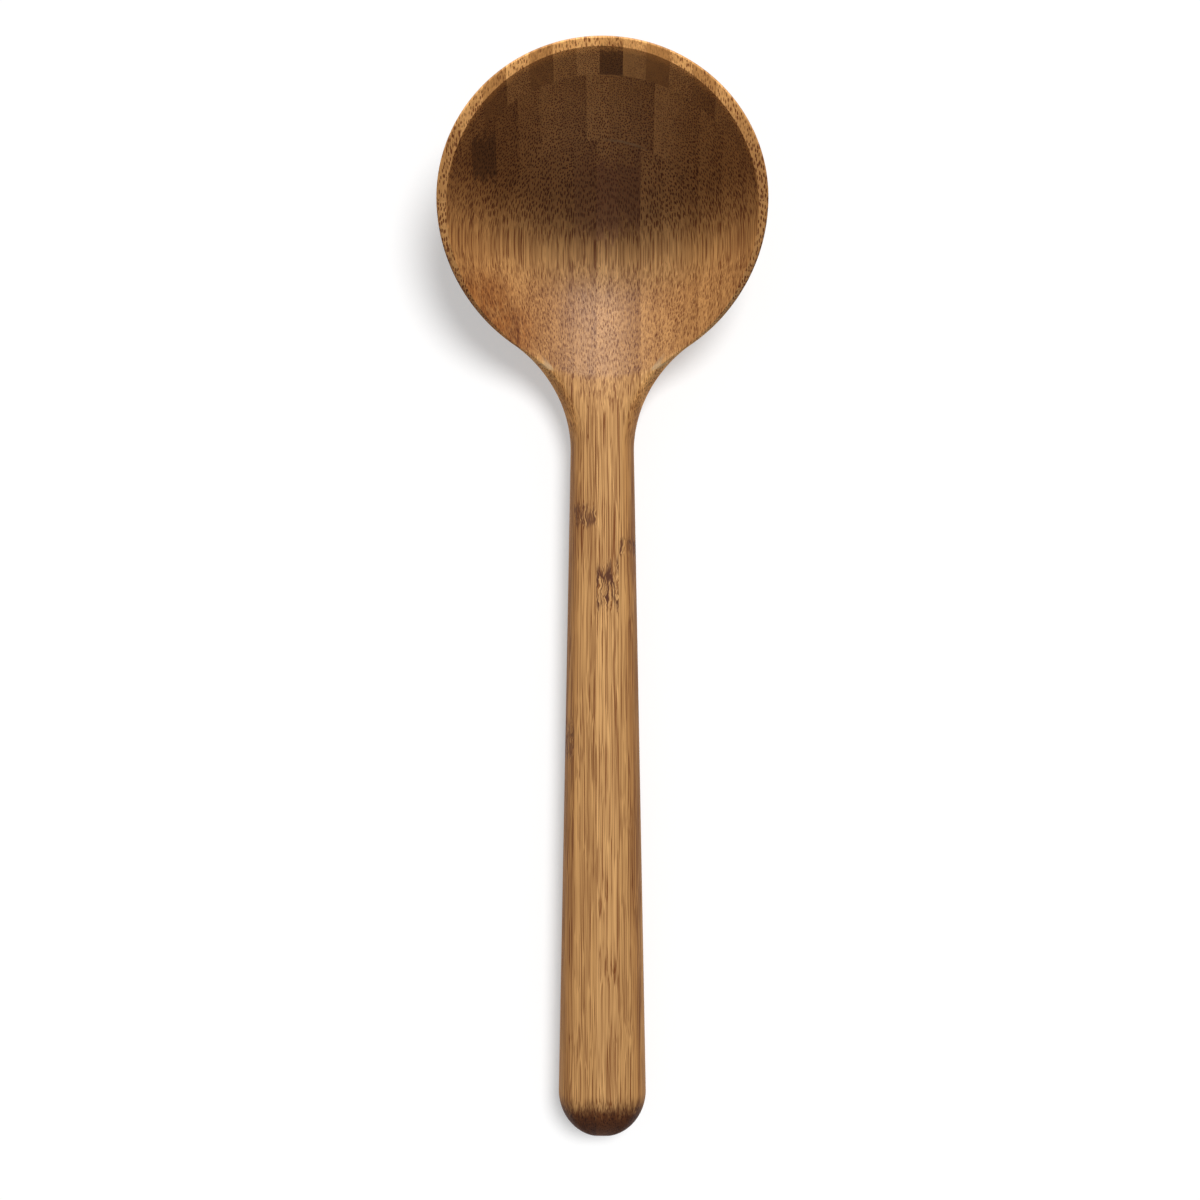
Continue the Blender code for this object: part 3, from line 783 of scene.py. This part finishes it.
class Nodes:
    """Short words for the shader nodes of one tree."""

    def __init__(self, tree):
        self.tree = tree
        tree.nodes.clear()

    def add(self, kind, settings=(), **inputs):
        """A node with its settings, and its inputs by name with spaces as underscores."""
        node = self.tree.nodes.new(kind)
        for name, value in dict(settings).items():
            setattr(node, name, value)
        for name, value in inputs.items():
            self.feed(node.inputs[name.replace("_", " ")], value)
        return node

    def feed(self, socket, value):
        """Links a socket into another, or sets its number."""
        if isinstance(value, bpy.types.NodeSocket):
            self.tree.links.new(value, socket)
        else:
            socket.default_value = value

    def sum(self, operation, first, second=0.0, third=0.0, clamp=False):
        """One step of arithmetic."""
        node = self.add("ShaderNodeMath", {"operation": operation, "use_clamp": clamp})
        for socket, value in zip(node.inputs, (first, second, third)):
            self.feed(socket, value)
        return node.outputs[0]

    def vector(self, operation, first, second):
        """One step of arithmetic on vectors, which gives a vector, or a number for a distance."""
        node = self.add("ShaderNodeVectorMath", {"operation": operation})
        self.feed(node.inputs[0], first)
        self.feed(node.inputs[1], second)
        return node.outputs["Value" if operation == "DISTANCE" else "Vector"]

    def join(self, x, y, z=0.0):
        """Vector of three numbers."""
        return self.add("ShaderNodeCombineXYZ", X=x, Y=y, Z=z).outputs["Vector"]

    def parts(self, vector):
        """The three numbers of a vector."""
        return self.add("ShaderNodeSeparateXYZ", Vector=vector).outputs

    def attribute(self, name):
        """Point attribute of three numbers, as a vector."""
        return self.add("ShaderNodeAttribute", {"attribute_name": name}).outputs["Vector"]

    def blend(self, share, first, second, kind="MIX"):
        """Mix of two colours."""
        node = self.add("ShaderNodeMix", {"data_type": "RGBA", "blend_type": kind})
        self.feed(node.inputs["Factor"], share)
        self.feed(node.inputs[MIX_FIRST], first)
        self.feed(node.inputs[MIX_SECOND], second)
        return node.outputs[MIX_RESULT]

    def tint(self, share, colour, left):
        """Colour of which, by a share, only what is left stays."""
        return self.blend(share, colour, self.blend(1.0, colour, left, "MULTIPLY"))

    def step(self, value, start, end, low=0.0, high=1.0):
        """Smooth step from low, at start, to high, at end."""
        node = self.add("ShaderNodeMapRange", {"interpolation_type": "SMOOTHSTEP"}, Value=value,
                        From_Min=start, From_Max=end, To_Min=low, To_Max=high)
        return node.outputs["Result"]

    def noise(self, point, waves, detail=2.0, roughness=0.5):
        """Soft noise around a half, with its waves across the fibres and along them."""
        across, along = waves
        place = self.vector("MULTIPLY", point, (across, along, across))
        return self.add("ShaderNodeTexNoise", Vector=place, Scale=1.0, Detail=detail,
                        Roughness=roughness).outputs

    def drift(self, point, waves, reach):
        """Three noises around nought, each times its reach."""
        noise = self.vector("SUBTRACT", self.noise(point, waves)["Color"], (0.5, 0.5, 0.5))
        return self.vector("MULTIPLY", noise, reach)

    def streaks(self, point, waves, detail=2.0):
        """Rougher noise that is drawn out along the fibres."""
        return self.noise(point, waves, detail, STREAK_ROUGHNESS)["Fac"]

    def lines(self, noise, width):
        """Thin lines where a noise passes its middle."""
        away = self.sum("ABSOLUTE", self.sum("SUBTRACT", noise, 0.5))
        return self.step(away, width, width * LINE_FULL)

    def around(self, base, noise, swing):
        """Base with a noise around a half added to it, swing times."""
        return self.sum("ADD", base, self.sum("MULTIPLY", self.sum("SUBTRACT", noise, 0.5), swing))


def new_material(name):
    """Material with an empty tree, and the words for its nodes."""
    material = bpy.data.materials.new(name)
    material.use_nodes = True
    return material, Nodes(material.node_tree)


def mark_share(nodes, away, ragged, reach):
    """1 at a mark's place, 0 past its reach, with a ragged end between; away is in reaches."""
    edge = nodes.around(nodes.sum("ABSOLUTE", away), ragged, reach * MARK_RAGGEDNESS)
    return nodes.step(edge, reach, reach * MARK_FULL)


def stick_mark(nodes, along, ragged, name):
    """Core and tail of a stick's mark, from its attribute (place, reach, strength)."""
    where, reach, strength = nodes.parts(nodes.attribute(name))
    away = nodes.sum("DIVIDE", nodes.sum("SUBTRACT", along, where), reach)
    core = nodes.sum("MULTIPLY", mark_share(nodes, away, ragged, CORE_REACH), strength)
    tail = nodes.sum("MULTIPLY", mark_share(nodes, away, ragged, TAIL_REACH), strength)
    return core, tail


def fibre_section(nodes, point, seed, knot):
    """Place in the bamboo's cross-section: X and Z, which wander slowly along Y and swirl at a growth
    node; each stick has a place of its own by its seed."""
    shift = nodes.join(*(nodes.sum("MULTIPLY", seed, part) for part in SEED_SHIFT))
    swirl = nodes.join(*(nodes.sum("MULTIPLY", knot, part) for part in KNOT_SWIRL))
    own = nodes.vector("ADD", point, shift)
    wandering = nodes.vector("ADD", own, nodes.drift(own, WANDER_WAVES, WANDER))
    return nodes.vector("ADD", wandering, nodes.drift(own, SWIRL_WAVES, swirl))


def fibre_bundles(nodes, fibres, across, spacing):
    """Round bundles in a loose grid of the cross-section, thicker to one side of the stick."""
    x, _, z = nodes.parts(fibres)
    cell = nodes.add("ShaderNodeTexVoronoi", {"voronoi_dimensions": "2D"}, Vector=nodes.join(x, z),
                     Scale=MILLIMETRE / spacing, Randomness=BUNDLE_SCATTER).outputs
    chance = nodes.parts(cell["Color"])["X"]
    width = nodes.sum("MULTIPLY_ADD", across, *BUNDLE_WIDTH)
    bundle = nodes.step(nodes.sum("SUBTRACT", width, cell["Distance"]), *BUNDLE_EDGE)
    return nodes.sum("MULTIPLY", bundle, nodes.sum("MULTIPLY_ADD", chance, *BUNDLE_CHANCE))


def spots(nodes, place, places):
    """1 in the middle of each spot, seen from above, 0 past its reach."""
    plan = nodes.vector("MULTIPLY", place, (1.0, 1.0, 0.0))
    share = 0.0
    for x, y, reach in places:
        away = nodes.vector("DISTANCE", plan, (x, y, 0.0))
        share = nodes.sum("MAXIMUM", share, nodes.step(away, reach, reach * SPOT_FULL))
    return share


def glue_film(nodes, place, thickness):
    """Light film in the joint between two boards, at the spots where it has stayed."""
    height = nodes.parts(place)["Z"]
    level = nodes.sum("DIVIDE", height, thickness)
    level = nodes.sum("ABSOLUTE", nodes.sum("SUBTRACT", level, nodes.sum("ROUND", level)))
    film = nodes.step(nodes.sum("MULTIPLY", level, thickness), *GLUE_FADE)
    film = nodes.sum("MULTIPLY", film, nodes.step(height, *(share * thickness for share in GLUE_FROM)))
    stayed = nodes.sum("MULTIPLY_ADD", spots(nodes, place, GLUE_SPOTS), *GLUE_SHARE)
    return nodes.sum("MULTIPLY", film, stayed)


class Wood:
    """Oiled bamboo in steps: dark fibre in pale tissue, its marks, its oil with painted shade and light, and
    its surface.
    """

    def __init__(self, nodes, finish):
        self.nodes = nodes
        self.finish = finish
        source = nodes.add("ShaderNodeTexCoord").outputs
        self.place = source["Object"]
        self.along = nodes.parts(self.place)["Y"]
        self.facing = nodes.parts(source["Normal"])
        self.across, self.tone, seed = nodes.parts(nodes.attribute("stick"))
        self.strength, self.wear, _ = nodes.parts(nodes.attribute("bundles"))
        point = nodes.vector("MULTIPLY", self.place, (1.0 / MILLIMETRE,) * 3)
        self.ragged = nodes.noise(point, RAGGED_WAVES, detail=3.0)["Fac"]
        strokes = nodes.streaks(point, STROKE_WAVES)
        self.knot, self.knot_tail = stick_mark(nodes, self.along, strokes, "growth_node")
        self.stain, _ = stick_mark(nodes, self.along, self.ragged, "stain")
        self.front = nodes.sum("MULTIPLY", nodes.step(self.facing["Y"], *FRONT_FACING),
                               nodes.step(self.along, *FRONT_WALL))
        # Painted shade on surfaces that face sideways, strongest where they face straight along X
        self.sideways = nodes.step(nodes.sum("ABSOLUTE", self.facing["X"]), *SIDEWAYS_FACING)
        # Darker handle tip: partly end grain, partly painted shade on the rounded end that faces away from
        # the key lamp
        self.tip_grain_and_shade = nodes.step(nodes.around(self.along, strokes, TIP_RAGGEDNESS), *TIP_GRAIN_AND_SHADE)
        self.fibres = fibre_section(nodes, point, seed, self.knot)
        self.fine = nodes.streaks(self.fibres, FINE_WAVES)
        self.bundle = self.cut_bundles()

    def cut_bundles(self):
        """Fibre bundles by the stick's strength, stronger on the bowl's front wall, weaker on the rim."""
        nodes = self.nodes
        bundle = fibre_bundles(nodes, self.fibres, self.across, self.finish.bundle_spacing)
        cut = nodes.step(self.front, 0.0, 1.0, *BUNDLE_CUT)
        cut = nodes.sum("MULTIPLY", cut, nodes.step(self.wear, 0.0, 1.0, 1.0, PALE_RIM_BUNDLES))
        return nodes.sum("MULTIPLY", bundle, nodes.sum("MULTIPLY", self.strength, cut))

    def dark_share(self):
        """Share of dark fibre: bundles, streaks, the denser side of a stick, thin lines, and the tails of
        a growth node; a stain hides part of it."""
        nodes = self.nodes
        tissue = nodes.step(self.front, 0.0, 1.0, *TISSUE_DARK)
        dark = nodes.sum("MULTIPLY_ADD", self.bundle, BUNDLE_DARK, tissue)
        dark = nodes.around(dark, self.fine, FINE_SWING)
        for waves, swing in SLOW_SWINGS:
            dark = nodes.around(dark, nodes.streaks(self.fibres, waves), swing)
        dark = nodes.sum("MULTIPLY_ADD", self.across, ACROSS_DARK, dark)
        for waves, width, gain in THIN_LINES:
            lines = nodes.lines(nodes.streaks(self.fibres, waves, detail=1.0), width)
            dark = nodes.sum("MULTIPLY_ADD", lines, gain, dark)
        tail = nodes.step(self.fine, *TAIL_STREAKS, 0.0, TAIL_DARK)
        dark = nodes.sum("MULTIPLY_ADD", self.knot_tail, tail, dark, clamp=True)
        hidden = nodes.sum("MULTIPLY", nodes.sum("SUBTRACT", STAIN_DARK, dark), STAIN_COVER)
        return nodes.sum("MULTIPLY_ADD", self.stain, hidden, dark, clamp=True)

    def grain_colour(self):
        """Tissue and fibre by their share, times the stick's brightness, which makes a dark stick warmer."""
        nodes = self.nodes
        colour = nodes.blend(self.dark_share(), (*self.finish.ground, 1.0), (*self.finish.fibre, 1.0))
        warmth = nodes.join(self.tone, nodes.sum("POWER", self.tone, GREEN_POWER),
                            nodes.sum("POWER", self.tone, BLUE_POWER))
        return nodes.blend(1.0, colour, warmth, "MULTIPLY")

    def marked(self, colour, board_thickness):
        """Dark wavy lines at a growth node, stains, browned spots, and glue between the boards."""
        nodes = self.nodes
        finish = self.finish
        lines = nodes.lines(nodes.streaks(self.fibres, KNOT_WAVES), KNOT_LINES)
        colour = nodes.blend(nodes.sum("MULTIPLY", self.knot, lines), colour, (*finish.growth_node, 1.0))
        soaked = nodes.step(self.bundle, 0.0, STAIN_BUNDLE, STAIN_TISSUE, 1.0)
        stained = nodes.sum("MULTIPLY", self.stain, soaked)
        colour = nodes.tint(stained, colour, nodes.attribute("stain_colour"))
        browned = nodes.sum("MULTIPLY", spots(nodes, self.place, BROWN_SPOTS),
                            nodes.step(self.ragged, *BROWN_RAGGEDNESS))
        colour = nodes.tint(browned, colour, (*finish.browned, 1.0))
        return nodes.blend(glue_film(nodes, self.place, board_thickness), colour, (*finish.glue, 1.0))

    def pale_rim_lit_neck(self):
        """Share by which the wood is made paler: the rim, and painted light on the neck's sides where they
        face back, away from the key lamp.
        """
        nodes = self.nodes
        # Painted light on the neck's sides where they face back, which lie in shade under the lamps
        neck = nodes.sum("MULTIPLY", nodes.step(self.along, *NECK_FRONT), nodes.step(self.along, *NECK_REAR))
        neck = nodes.sum("MULTIPLY", neck, nodes.step(self.facing["Y"], *NECK_FACING, 0.0, NECK_PAINTED_LIGHT))
        return nodes.sum("MAXIMUM", self.wear, neck)

    def oiled(self, colour):
        """Darker where fibres end, towards the front and on the bowl's front wall; painted shade on sideways
        faces;
        darker at the handle's tip, partly end grain and partly painted shade; paler on the rim; painted
        light on the neck's back-facing sides."""
        ends = self.nodes.sum("ADD", self.nodes.step(self.facing["Y"], *END_FACING), self.front)
        finish = self.finish
        # Painted shade on sideways faces and partly on the tip; painted light on the neck's back-facing
        # sides
        places = ((ends, finish.end_grain), (self.sideways, finish.side_shade), (self.tip_grain_and_shade, finish.tip_grain_and_shade),
                  (self.pale_rim_lit_neck(), finish.pale_rim_lit_neck))
        for share, left in places:
            colour = self.nodes.tint(share, colour, (*left, 1.0))
        return colour

    def surface(self, colour):
        """Oiled surface, rougher on bundles, on sideways faces and at the tip, with the bundles a little
        sunk.
        """
        nodes = self.nodes
        rough = nodes.sum("MULTIPLY_ADD", self.bundle, BUNDLE_ROUGHNESS, self.finish.roughness)
        rough = nodes.around(rough, self.fine, FINE_ROUGHNESS)
        dry = nodes.sum("MAXIMUM", self.sideways, self.tip_grain_and_shade)
        rough = nodes.sum("MULTIPLY_ADD", dry, DRY_ROUGHNESS, rough, clamp=True)
        relief = nodes.sum("SUBTRACT", nodes.sum("MULTIPLY", self.fine, FINE_RELIEF), self.bundle)
        bump = nodes.add("ShaderNodeBump", Strength=RELIEF_STRENGTH, Distance=RELIEF_DEPTH, Height=relief)
        shader = nodes.add("ShaderNodeBsdfPrincipled", Base_Color=colour, Roughness=rough,
                           Normal=bump.outputs["Normal"])
        shader.inputs["Specular IOR Level"].default_value = self.finish.gloss
        return shader


def bamboo(finish, blank):
    """Oiled bamboo: dark fibre bundles along Y in pale tissue, denser to one side of each stick, with growth
    nodes, stains and glue between the boards, darker ends, painted shade on sideways faces, a tip darker
    partly as end grain and partly as painted shade, a paler rim and painted light on the neck's sides."""
    material = bpy.data.materials.get("oiled_bamboo")
    if material:
        return material
    material, nodes = new_material("oiled_bamboo")
    wood = Wood(nodes, finish)
    colour = wood.oiled(wood.marked(wood.grain_colour(), blank.board_thickness))
    nodes.add("ShaderNodeOutputMaterial", Surface=wood.surface(colour).outputs["BSDF"])
    return material


def turned(radius, height):
    """Profile turned round the middle: points of (radius, height) carried along a full circle."""
    angle = np.linspace(0.0, 2.0 * pi, CIRCLE_LINES + 1)[:, None]
    x = radius * np.cos(angle)
    y = radius * np.sin(angle)
    return np.stack([x, y, height * np.ones_like(angle)], axis=-1)


def floor_surface(stage):
    """Flat round floor, a hair under the ladle's foot."""
    radius = np.linspace(0.0, stage.cove_radius - stage.cove_bend, FLOOR_LINES + 1)
    return turned(radius, np.full_like(radius, -FLOOR_CLEARANCE))


def backdrop_surface(stage):
    """A quarter circle up from the floor's edge, and an upright wall on it."""
    turn = np.linspace(0.0, pi / 2, BEND_LINES + 1)
    inner = stage.cove_radius - stage.cove_bend
    radius = np.append(inner + stage.cove_bend * np.sin(turn), stage.cove_radius)
    height = np.append(stage.cove_bend * (1.0 - np.cos(turn)), stage.cove_height)
    return turned(radius, height - FLOOR_CLEARANCE)


def seen_rays(nodes):
    """1 for the camera's rays and for reflections and what glass lets through, 0 for light on the ladle."""
    rays = nodes.add("ShaderNodeLightPath")
    seen = nodes.sum("MAXIMUM", rays.outputs["Is Camera Ray"], rays.outputs["Is Glossy Ray"])
    return nodes.sum("MAXIMUM", seen, rays.outputs["Is Transmission Ray"])


def mixed_shader(nodes, share, first, second):
    """Mix of two shaders."""
    mixed = nodes.add("ShaderNodeMixShader", Fac=share)
    nodes.feed(mixed.inputs[1], first.outputs[0])
    nodes.feed(mixed.inputs[2], second.outputs[0])
    return mixed


def floor_paint(stage):
    """Pale paint that the camera sees as white, with the ladle's shadow on it."""
    material, nodes = new_material("floor_paint")
    glow = nodes.add("ShaderNodeEmission", Strength=1.0)
    lit = nodes.add("ShaderNodeBsdfDiffuse", Color=WHITE)
    white = mixed_shader(nodes, stage.shadow, glow, lit)
    pale = nodes.add("ShaderNodeBsdfDiffuse", Color=(*stage.floor, 1.0))
    paint = mixed_shader(nodes, seen_rays(nodes), pale, white)
    nodes.add("ShaderNodeOutputMaterial", Surface=paint.outputs[0])
    return material


def backdrop_paint():
    """White for the camera, and out of the way of the light."""
    material, nodes = new_material("backdrop_paint")
    glow = nodes.add("ShaderNodeEmission", Strength=1.0)
    clear = nodes.add("ShaderNodeBsdfTransparent")
    paint = mixed_shader(nodes, seen_rays(nodes), clear, glow)
    nodes.add("ShaderNodeOutputMaterial", Surface=paint.outputs[0])
    return material


def add_stage_surface(name, points, material):
    """One surface of the stage, its seam and pole closed."""
    mesh = bpy.data.meshes.new(name)
    mesh.from_pydata(points.reshape(-1, 3), (), grid_faces(*points.shape[:2])[:, ::-1])
    shape = bmesh.new()
    shape.from_mesh(mesh)
    bmesh.ops.remove_doubles(shape, verts=shape.verts, dist=FLOOR_CLEARANCE)
    bmesh.ops.dissolve_degenerate(shape, dist=FLOOR_CLEARANCE, edges=shape.edges)
    shape.to_mesh(mesh)
    shape.free()
    mesh.shade_smooth()
    mesh.materials.append(material)
    surface = bpy.data.objects.new(name, mesh)
    group("stage").objects.link(surface)


def towards_lamp(height, turn):
    """Direction to a lamp at an angle over the floor and an angle from the ladle's front."""
    return Vector((cos(height) * sin(turn), cos(height) * cos(turn), sin(height)))


def add_lamp(context, lamp, towards, place, lit):
    """Sets a lamp at a place so that it shines back along a direction, on one collection only."""
    holder = bpy.data.objects.new(lamp.name, lamp)
    holder.rotation_euler = towards.to_track_quat("Z", "Y").to_euler()
    holder.location = place
    holder.light_linking.receiver_collection = lit
    context.scene.collection.objects.link(holder)


def add_lights(context, stage, target):
    """A wide soft box over the bowl's front for the ladle, a high lamp for the floor, and an even glow.
    A lamp's strength is worked out from the share of white that it gives a white floor at the target."""
    key = bpy.data.lights.new("key", "AREA")
    key.shape = "RECTANGLE"
    key.size = stage.key_width
    key.size_y = stage.key_depth
    key.energy = pi ** 2 * stage.key_level * stage.key_distance ** 2 / sin(stage.key_height)
    towards = towards_lamp(stage.key_height, stage.key_turn)
    add_lamp(context, key, towards, target + towards * stage.key_distance, group("ladle"))
    high = bpy.data.lights.new("high", "SUN")
    high.angle = stage.high_softness
    high.energy = pi * stage.high_level / sin(stage.high_height)
    towards = towards_lamp(stage.high_height, stage.high_turn)
    add_lamp(context, high, towards, target + towards, group("stage"))
    world = bpy.data.worlds.new("glow")
    world.use_nodes = True
    background = world.node_tree.nodes["Background"].inputs
    background["Color"].default_value = WHITE
    background["Strength"].default_value = stage.fill_level
    context.scene.world = world


def add_camera(context, stage, floor):
    """Camera that looks straight down, with the handle towards the picture's lower edge."""
    lens = bpy.data.cameras.new("camera")
    lens.lens = lens.sensor_width * stage.camera_height / stage.view_width
    camera = bpy.data.objects.new("camera", lens)
    camera.location = (*stage.camera_place, floor + stage.camera_height)
    context.scene.collection.objects.link(camera)
    context.scene.camera = camera


class LADLE_OT_bottom_board(bpy.types.Operator):
    """Sticks of the bowl's floor and the handle"""
    bl_idname = "ladle.bottom_board"
    bl_label = "Bottom board"

    def execute(self, context):
        add_board(context, "bottom")
        return {"FINISHED"}


class LADLE_OT_middle_board(bpy.types.Operator):
    """Sticks of the bowl's lower wall"""
    bl_idname = "ladle.middle_board"
    bl_label = "Middle board"

    def execute(self, context):
        add_board(context, "middle")
        return {"FINISHED"}


class LADLE_OT_top_board(bpy.types.Operator):
    """Sticks of the bowl's upper wall and front rim"""
    bl_idname = "ladle.top_board"
    bl_label = "Top board"

    def execute(self, context):
        add_board(context, "top")
        return {"FINISHED"}


class LADLE_OT_stage(bpy.types.Operator):
    """White cove, lamps and camera"""
    bl_idname = "ladle.stage"
    bl_label = "Stage"

    def execute(self, context):
        stage = context.scene.ladle_stage
        add_stage_surface("floor", floor_surface(stage), floor_paint(stage))
        add_stage_surface("backdrop", backdrop_surface(stage), backdrop_paint())
        form = LadleForm(context.scene.ladle_form)
        add_lights(context, stage, Vector((0.0, form.ball_y, form.sizes.floor_thickness)))
        add_camera(context, stage, form.sizes.floor_thickness)
        context.scene.view_settings.view_transform = "Standard"
        return {"FINISHED"}


class LADLE_PT_panel(bpy.types.Panel):
    """Sizes, finish and steps of the ladle"""
    bl_idname = "LADLE_PT_panel"
    bl_label = "Ladle"
    bl_space_type = "VIEW_3D"
    bl_region_type = "UI"
    bl_category = "Ladle"

    def draw(self, context):
        layout = self.layout
        for operator in OPERATORS:
            layout.operator(operator.bl_idname)
        for holder in SETTINGS:
            settings = getattr(context.scene, holder)
            layout.label(text=settings.__doc__)
            for name in settings.__annotations__:
                layout.prop(settings, name)


OPERATORS = (LADLE_OT_bottom_board, LADLE_OT_middle_board, LADLE_OT_top_board, LADLE_OT_stage)
SETTINGS = {
    "ladle_blank": BlankSettings,
    "ladle_form": FormSettings,
    "ladle_finish": FinishSettings,
    "ladle_stage": StageSettings,
}


def register():
    for holder, settings in SETTINGS.items():
        bpy.utils.register_class(settings)
        setattr(bpy.types.Scene, holder, PointerProperty(type=settings))
    for kind in (*OPERATORS, LADLE_PT_panel):
        bpy.utils.register_class(kind)


def unregister():
    for kind in (*OPERATORS, LADLE_PT_panel):
        bpy.utils.unregister_class(kind)
    for holder, settings in SETTINGS.items():
        delattr(bpy.types.Scene, holder)
        bpy.utils.unregister_class(settings)


def main():
    register()
    bpy.ops.ladle.bottom_board()
    bpy.ops.ladle.middle_board()
    bpy.ops.ladle.top_board()
    bpy.ops.ladle.stage()


if __name__ == "__main__":
    main()
